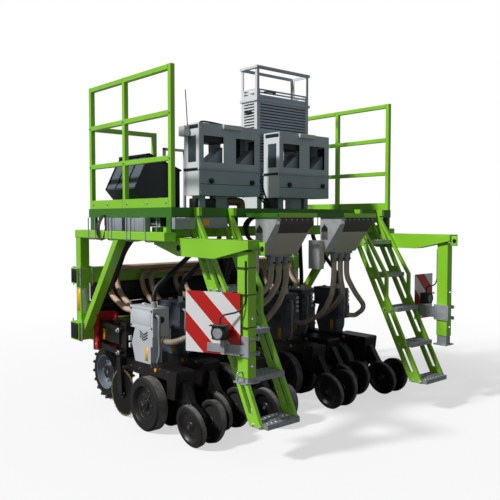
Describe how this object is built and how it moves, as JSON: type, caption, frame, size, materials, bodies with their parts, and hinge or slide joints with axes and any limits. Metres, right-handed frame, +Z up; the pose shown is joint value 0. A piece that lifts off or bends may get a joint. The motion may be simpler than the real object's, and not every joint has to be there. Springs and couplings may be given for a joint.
{
  "type": "seed drill",
  "caption": "Mounted plot seed drill with six row units, metering modules, seed hoppers, a railed work platform, ladders and telescopic support legs.",
  "frame": {"origin": "on the ground under the middle of the machine's box", "axes": "+X to the machine's right, +Y forward in the direction of travel, +Z up"},
  "size_m": [2.8408, 2.7299, 3.1492],
  "materials": {
    "green_paint": "gloss",
    "galvanised_steel": "satin",
    "grey_plastic": "satin",
    "black_plastic": "satin",
    "black_paint": "satin",
    "red_paint": "gloss",
    "red_white_film": "gloss",
    "clear_hose": "gloss",
    "beige_hose": "satin",
    "black_hose": "satin",
    "disc_steel": "satin",
    "tyre_rubber": "matte"
  },
  "bodies": {
    "machine": {"side_frames": "green_paint", "deck": "green_paint", "railings": "green_paint", "ladder_frames": "green_paint", "support_arms": "green_paint", "lower_toolbar": "green_paint", "upper_toolbar": "green_paint", "hitch_brackets": "green_paint", "ladder_treads": "galvanised_steel", "seed_hoppers": "galvanised_steel", "panel_brackets": "galvanised_steel", "module_skirts": "grey_plastic", "module_covers": "grey_plastic", "seed_trays": "grey_plastic", "tray_top_frame": "grey_plastic", "meter_housings": "grey_plastic", "control_boxes": "grey_plastic", "deck_boxes": "grey_plastic", "storage_bin": "black_plastic", "hopper_outlets": "black_plastic", "air_fan": "black_plastic", "row_frames": "black_paint", "parallel_links": "black_paint", "gauge_arms": "black_paint", "closing_frames": "black_paint", "wheel_legs": "black_paint", "head_brackets": "red_paint", "warning_panels": "red_white_film", "seed_tubes": "clear_hose", "air_hoses": "beige_hose", "feed_lines": "black_hose"},
    "gauge_gang_1": {"gauge_gang_1": "tyre_rubber"},
    "closing_wheel_1_left": {"closing_wheel_1_left": "tyre_rubber"},
    "closing_wheel_1_right": {"closing_wheel_1_right": "tyre_rubber"},
    "coulter_disc_1": {"coulter_disc_1": "disc_steel"},
    "gauge_gang_2": {"gauge_gang_2": "tyre_rubber"},
    "closing_wheel_2_left": {"closing_wheel_2_left": "tyre_rubber"},
    "closing_wheel_2_right": {"closing_wheel_2_right": "tyre_rubber"},
    "coulter_disc_2": {"coulter_disc_2": "disc_steel"},
    "gauge_gang_3": {"gauge_gang_3": "tyre_rubber"},
    "closing_wheel_3_left": {"closing_wheel_3_left": "tyre_rubber"},
    "closing_wheel_3_right": {"closing_wheel_3_right": "tyre_rubber"},
    "coulter_disc_3": {"coulter_disc_3": "disc_steel"},
    "gauge_gang_4": {"gauge_gang_4": "tyre_rubber"},
    "closing_wheel_4_left": {"closing_wheel_4_left": "tyre_rubber"},
    "closing_wheel_4_right": {"closing_wheel_4_right": "tyre_rubber"},
    "coulter_disc_4": {"coulter_disc_4": "disc_steel"},
    "gauge_gang_5": {"gauge_gang_5": "tyre_rubber"},
    "closing_wheel_5_left": {"closing_wheel_5_left": "tyre_rubber"},
    "closing_wheel_5_right": {"closing_wheel_5_right": "tyre_rubber"},
    "coulter_disc_5": {"coulter_disc_5": "disc_steel"},
    "gauge_gang_6": {"gauge_gang_6": "tyre_rubber"},
    "closing_wheel_6_left": {"closing_wheel_6_left": "tyre_rubber"},
    "closing_wheel_6_right": {"closing_wheel_6_right": "tyre_rubber"},
    "coulter_disc_6": {"coulter_disc_6": "disc_steel"},
    "carrier_wheel_left": {"carrier_wheel_left": "tyre_rubber"},
    "carrier_wheel_right": {"carrier_wheel_right": "tyre_rubber"},
    "support_foot_left": {"support_foot_left": "galvanised_steel"},
    "support_foot_right": {"support_foot_right": "galvanised_steel"},
    "bin_lid": {"bin_lid": "black_plastic"}
  },
  "joints": [
    {"name": "gauge_gang_1_spin", "type": "hinge", "parent": "machine", "child": "gauge_gang_1", "pos_m": [-1.175, -0.166, 0.215], "axis": [1, 0, 0], "continuous": true},
    {"name": "closing_wheel_1_left_spin", "type": "hinge", "parent": "machine", "child": "closing_wheel_1_left", "pos_m": [-1.267, -0.725, 0.16243], "axis": [0.9848, 0, 0.1736], "continuous": true},
    {"name": "closing_wheel_1_right_spin", "type": "hinge", "parent": "machine", "child": "closing_wheel_1_right", "pos_m": [-1.083, -0.725, 0.16243], "axis": [0.9848, 0, -0.1736], "continuous": true},
    {"name": "coulter_disc_1_spin", "type": "hinge", "parent": "machine", "child": "coulter_disc_1", "pos_m": [-1.25, 0.29, 0.205], "axis": [1, 0, 0], "continuous": true},
    {"name": "gauge_gang_2_spin", "type": "hinge", "parent": "machine", "child": "gauge_gang_2", "pos_m": [-0.8, -0.006, 0.215], "axis": [1, 0, 0], "continuous": true},
    {"name": "closing_wheel_2_left_spin", "type": "hinge", "parent": "machine", "child": "closing_wheel_2_left", "pos_m": [-0.892, -0.565, 0.16243], "axis": [0.9848, 0, 0.1736], "continuous": true},
    {"name": "closing_wheel_2_right_spin", "type": "hinge", "parent": "machine", "child": "closing_wheel_2_right", "pos_m": [-0.708, -0.565, 0.16243], "axis": [0.9848, 0, -0.1736], "continuous": true},
    {"name": "coulter_disc_2_spin", "type": "hinge", "parent": "machine", "child": "coulter_disc_2", "pos_m": [-0.875, 0.45, 0.205], "axis": [1, 0, 0], "continuous": true},
    {"name": "gauge_gang_3_spin", "type": "hinge", "parent": "machine", "child": "gauge_gang_3", "pos_m": [-0.425, -0.166, 0.215], "axis": [1, 0, 0], "continuous": true},
    {"name": "closing_wheel_3_left_spin", "type": "hinge", "parent": "machine", "child": "closing_wheel_3_left", "pos_m": [-0.517, -0.725, 0.16243], "axis": [0.9848, 0, 0.1736], "continuous": true},
    {"name": "closing_wheel_3_right_spin", "type": "hinge", "parent": "machine", "child": "closing_wheel_3_right", "pos_m": [-0.333, -0.725, 0.16243], "axis": [0.9848, 0, -0.1736], "continuous": true},
    {"name": "coulter_disc_3_spin", "type": "hinge", "parent": "machine", "child": "coulter_disc_3", "pos_m": [-0.5, 0.29, 0.205], "axis": [1, 0, 0], "continuous": true},
    {"name": "gauge_gang_4_spin", "type": "hinge", "parent": "machine", "child": "gauge_gang_4", "pos_m": [0.325, -0.166, 0.215], "axis": [1, 0, 0], "continuous": true},
    {"name": "closing_wheel_4_left_spin", "type": "hinge", "parent": "machine", "child": "closing_wheel_4_left", "pos_m": [0.233, -0.725, 0.16243], "axis": [0.9848, 0, 0.1736], "continuous": true},
    {"name": "closing_wheel_4_right_spin", "type": "hinge", "parent": "machine", "child": "closing_wheel_4_right", "pos_m": [0.417, -0.725, 0.16243], "axis": [0.9848, 0, -0.1736], "continuous": true},
    {"name": "coulter_disc_4_spin", "type": "hinge", "parent": "machine", "child": "coulter_disc_4", "pos_m": [0.25, 0.29, 0.205], "axis": [1, 0, 0], "continuous": true},
    {"name": "gauge_gang_5_spin", "type": "hinge", "parent": "machine", "child": "gauge_gang_5", "pos_m": [0.7, -0.006, 0.215], "axis": [1, 0, 0], "continuous": true},
    {"name": "closing_wheel_5_left_spin", "type": "hinge", "parent": "machine", "child": "closing_wheel_5_left", "pos_m": [0.608, -0.565, 0.16243], "axis": [0.9848, 0, 0.1736], "continuous": true},
    {"name": "closing_wheel_5_right_spin", "type": "hinge", "parent": "machine", "child": "closing_wheel_5_right", "pos_m": [0.792, -0.565, 0.16243], "axis": [0.9848, 0, -0.1736], "continuous": true},
    {"name": "coulter_disc_5_spin", "type": "hinge", "parent": "machine", "child": "coulter_disc_5", "pos_m": [0.625, 0.45, 0.205], "axis": [1, 0, 0], "continuous": true},
    {"name": "gauge_gang_6_spin", "type": "hinge", "parent": "machine", "child": "gauge_gang_6", "pos_m": [1.075, -0.166, 0.215], "axis": [1, 0, 0], "continuous": true},
    {"name": "closing_wheel_6_left_spin", "type": "hinge", "parent": "machine", "child": "closing_wheel_6_left", "pos_m": [0.983, -0.725, 0.16243], "axis": [0.9848, 0, 0.1736], "continuous": true},
    {"name": "closing_wheel_6_right_spin", "type": "hinge", "parent": "machine", "child": "closing_wheel_6_right", "pos_m": [1.167, -0.725, 0.16243], "axis": [0.9848, 0, -0.1736], "continuous": true},
    {"name": "coulter_disc_6_spin", "type": "hinge", "parent": "machine", "child": "coulter_disc_6", "pos_m": [1, 0.29, 0.205], "axis": [1, 0, 0], "continuous": true},
    {"name": "carrier_wheel_left_spin", "type": "hinge", "parent": "machine", "child": "carrier_wheel_left", "pos_m": [-1.02, 0.87, 0.255], "axis": [1, 0, 0], "continuous": true},
    {"name": "carrier_wheel_right_spin", "type": "hinge", "parent": "machine", "child": "carrier_wheel_right", "pos_m": [1.02, 0.87, 0.255], "axis": [1, 0, 0], "continuous": true},
    {"name": "support_foot_left_slide", "type": "slide", "parent": "machine", "child": "support_foot_left", "axis": [0, 0, -1], "range_m": [0, 0.57]},
    {"name": "support_foot_right_slide", "type": "slide", "parent": "machine", "child": "support_foot_right", "axis": [0, 0, -1], "range_m": [0, 0.525]},
    {"name": "bin_lid_hinge", "type": "hinge", "parent": "machine", "child": "bin_lid", "pos_m": [-1.07167, 0.4, 2.23073], "axis": [0, 1, 0], "range_deg": [-80, 0]}
  ]
}
